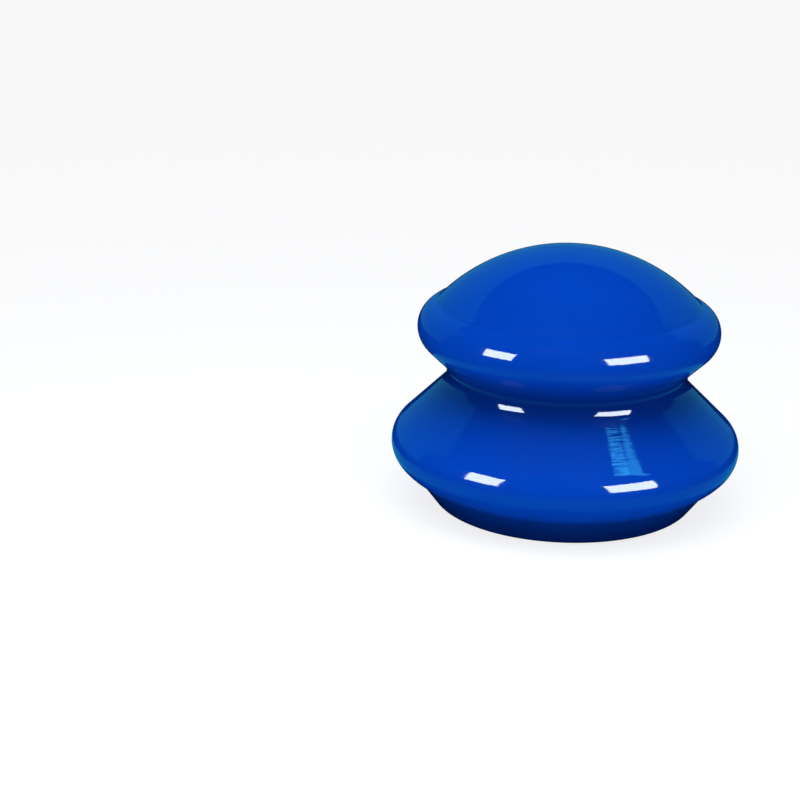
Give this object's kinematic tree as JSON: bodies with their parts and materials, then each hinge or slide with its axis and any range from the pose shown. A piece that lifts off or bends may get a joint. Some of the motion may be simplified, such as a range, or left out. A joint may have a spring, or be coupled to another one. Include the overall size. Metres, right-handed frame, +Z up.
{
  "type": "silicone cupping cup",
  "caption": "Waisted one-piece silicone suction cup: rolled sealing lip, wide bell, narrow folding waist and a domed top that is pressed to draw the vacuum.",
  "frame": {"origin": "centre of the lip's flat land, on the surface that the cup stands on or seals against", "axes": "+Z up the cup's axis of revolution, from the mouth through the waist to the dome's apex; +X and +Y are any two square directions, because the cup is round"},
  "size_m": [0.072, 0.072, 0.054],
  "materials": {
    "blue_silicone": "glossy"
  },
  "bodies": {
    "lip": {"sealing_lip": "blue_silicone", "bell_skirt": "blue_silicone"},
    "bell": {"bell_edge": "blue_silicone", "bell_shoulder": "blue_silicone"},
    "waist": {"waist_band": "blue_silicone", "dome_underside": "blue_silicone"},
    "dome": {"dome_rim": "blue_silicone", "dome_slope": "blue_silicone"},
    "crown": {"dome_crown": "blue_silicone"}
  },
  "joints": [
    {"name": "bell_rock", "type": "hinge", "parent": "lip", "child": "bell", "pos_m": [0, 0, 0.0085], "axis": [1, 0, 0], "range_deg": [-4, 4], "stiffness_Nm_per_rad": 2, "deforming": ["bell_skirt"]},
    {"name": "shoulder_fold", "type": "slide", "parent": "bell", "child": "waist", "axis": [0, 0, -1], "range_m": [0, 0.005], "stiffness_N_per_m": 2500, "deforming": ["bell_shoulder"]},
    {"name": "underside_fold", "type": "slide", "parent": "waist", "child": "dome", "axis": [0, 0, -1], "range_m": [0, 0.003], "stiffness_N_per_m": 4000, "deforming": ["dome_underside"]},
    {"name": "crown_dent", "type": "slide", "parent": "dome", "child": "crown", "axis": [0, 0, -1], "range_m": [0, 0.004], "stiffness_N_per_m": 2000, "deforming": ["dome_slope"]}
  ],
  "couplings": [
    {"joint": "underside_fold", "follows": "shoulder_fold", "ratio": 0.6}
  ]
}
